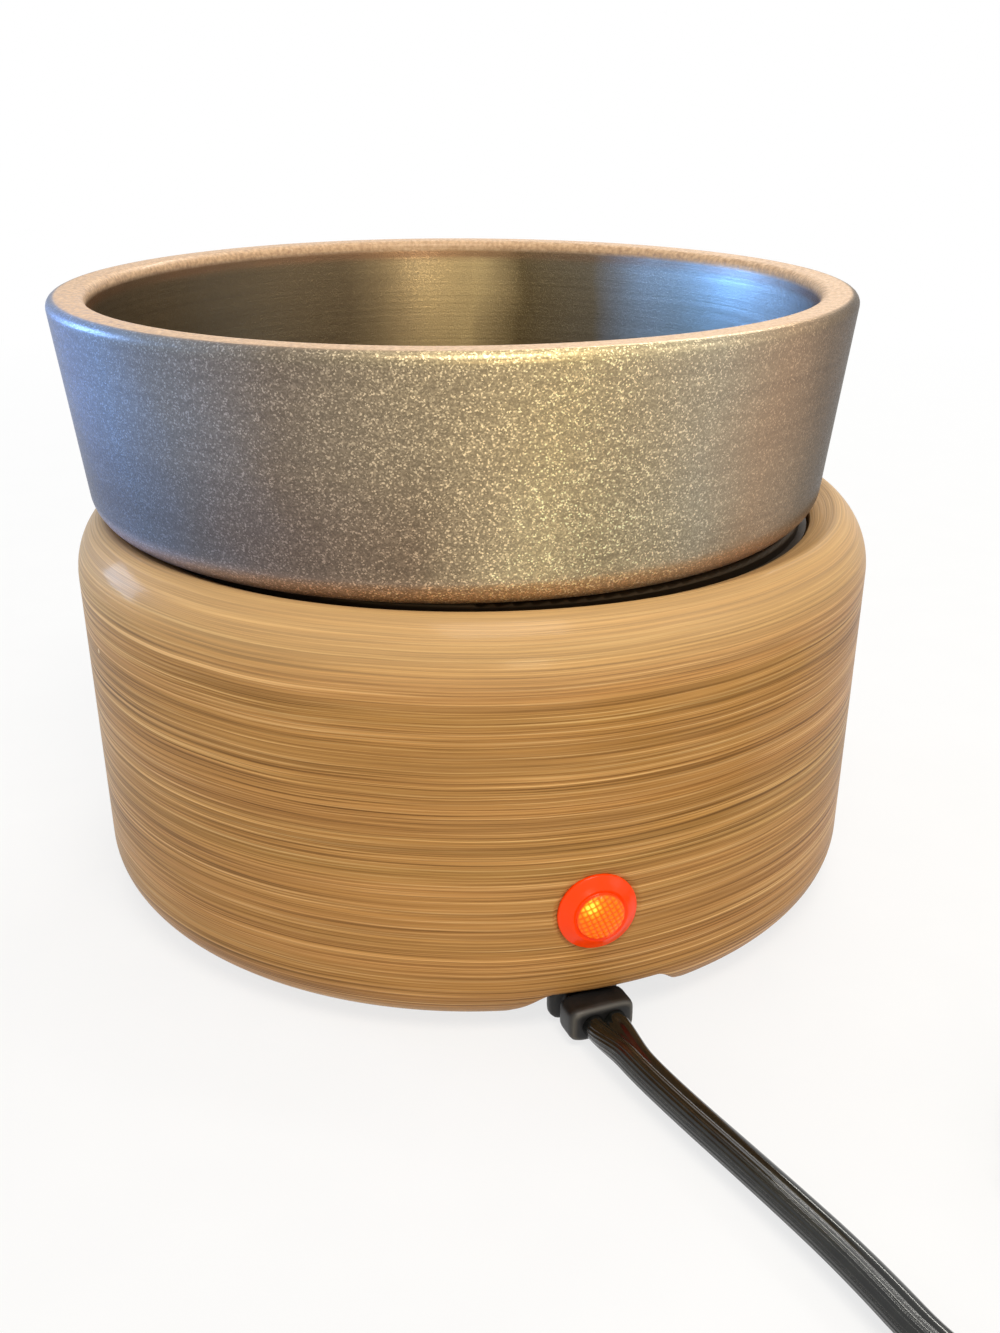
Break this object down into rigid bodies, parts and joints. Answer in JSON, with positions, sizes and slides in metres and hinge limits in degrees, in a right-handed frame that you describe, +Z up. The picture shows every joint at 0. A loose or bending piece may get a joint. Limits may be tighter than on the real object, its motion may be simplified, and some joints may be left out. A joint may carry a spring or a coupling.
{
  "type": "candle warmer plate",
  "caption": "Electric candle warmer: a round ceramic base with a heated plate sunk in its top, a lift-off glazed wax dish, a pilot lamp and a flat mains cord with a thumb-wheel switch",
  "frame": {"origin": "on the table under the middle of the base", "axes": "+Z up, -Y towards the front with the pilot lamp and cord, +X to the viewer's right"},
  "size_m": [0.2372, 0.245, 0.1039],
  "materials": {
    "base_glaze": "brushed tan glaze on fired ceramic",
    "plate_metal": "spun aluminium",
    "silicone": "translucent grey silicone",
    "mica": "pressed mica sheet",
    "ribbon": "resistance ribbon",
    "felt": "white needled mineral felt",
    "zinc": "zinc plated sheet",
    "black_plastic": "moulded black plastic",
    "black_rubber": "soft black rubber",
    "black_vinyl": "satin black vinyl",
    "lens": "orange translucent plastic",
    "spring_steel": "spring steel",
    "bulb_glass": "clear glass with an orange glow",
    "nylon": "natural nylon",
    "wire_black": "black wire insulation",
    "wire_white": "white glass-fibre sleeving",
    "fuse_metal": "bright metal can",
    "lead_red": "red wire insulation",
    "resistor": "beige lacquer",
    "contact_brass": "stamped brass",
    "dish_glaze": "pewter glaze with fine glitter on fired ceramic"
  },
  "bodies": {
    "warmer": {"base_shell": "base_glaze", "hot_plate": "plate_metal", "plate_gasket": "silicone", "upper_mica": "mica", "heater_ribbon": "ribbon", "lower_mica": "mica", "insulation_pad": "felt", "clamp_plate": "zinc", "tie_rod": "zinc", "tie_nuts": "zinc", "tie_washers": "zinc", "bottom_cover": "black_plastic", "rubber_feet": "black_rubber", "cord_grip": "black_vinyl", "lamp_lens": "lens", "lamp_clip": "spring_steel", "neon_bulb": "bulb_glass", "wire_splices": "nylon", "mains_wires": "wire_black", "heater_wires": "wire_white", "thermal_fuse": "fuse_metal", "lamp_leads": "lead_red", "lamp_resistor": "resistor", "cord_lead": "black_vinyl", "switch_base": "black_plastic", "switch_top": "black_plastic", "switch_contacts": "contact_brass", "switch_screws": "zinc", "cord_coil": "black_vinyl", "coil_tie": "black_vinyl", "cord_link": "black_vinyl", "cord_tail": "black_vinyl", "plug_body": "black_vinyl", "plug_blades": "contact_brass"},
    "dish": {"dish": "dish_glaze"},
    "switch_wheel": {"switch_wheel": "black_plastic"}
  },
  "joints": [
    {"name": "dish_lift", "type": "slide", "parent": "warmer", "child": "dish", "axis": [0, 0, 1], "range_m": [0, 0.06]},
    {"name": "switch_turn", "type": "hinge", "parent": "warmer", "child": "switch_wheel", "pos_m": [0.09138, -0.15893, 0.0049], "axis": [0, 0, 1], "continuous": true}
  ]
}
